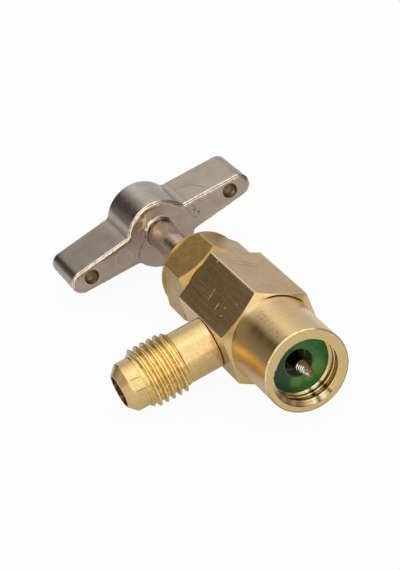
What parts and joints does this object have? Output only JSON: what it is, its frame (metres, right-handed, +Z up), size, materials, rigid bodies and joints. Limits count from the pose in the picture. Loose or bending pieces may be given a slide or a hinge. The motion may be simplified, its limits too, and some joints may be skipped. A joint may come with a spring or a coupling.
{
  "type": "refrigerant can tap",
  "caption": "Brass tap for a refrigerant can: threaded socket with a green gasket and a needle, flare outlet on the side, and a T-handle on a screwed stem.",
  "frame": {"origin": "centre of the socket's mouth, on the main axis", "axes": "+Y along the main axis from the mouth to the handle, +Z up as the tap lies at rest, the outlet points to -X and a little down"},
  "size_m": [0.0447, 0.0741, 0.0188],
  "materials": {
    "turned_brass": "drawn and turned, satin",
    "bright_brass": "turned, bright",
    "nut_brass": "drawn, satin",
    "plated_casting": "nickel plated die casting, satin",
    "plated_stem": "nickel plated, turned",
    "needle_steel": "ridged, bright",
    "green_rubber": "smooth, a little glossy",
    "black_rubber": "matt",
    "packing": "pressed ring"
  },
  "bodies": {
    "tap_body": {"valve_body": "turned_brass", "socket_gasket": "green_rubber", "outlet_fitting": "bright_brass", "outlet_seal": "black_rubber", "gland_nut": "nut_brass", "gland_washer": "nut_brass", "gland_packing": "packing"},
    "travelling_washer": {"seat_washer": "black_rubber"},
    "stem_and_handle": {"stem": "plated_stem", "piercing_needle": "needle_steel", "t_handle": "plated_casting"}
  },
  "joints": [
    {"name": "stem_travel", "type": "slide", "parent": "tap_body", "child": "travelling_washer", "axis": [0, 1, 0], "range_m": [0, 0.006]},
    {"name": "handle_turn", "type": "hinge", "parent": "travelling_washer", "child": "stem_and_handle", "pos_m": [0, 0, 0], "axis": [0, 1, 0], "range_deg": [0, 2160]}
  ],
  "couplings": [
    {"joint": "stem_travel", "follows": "handle_turn", "m_per_rad": 0.00015915}
  ]
}
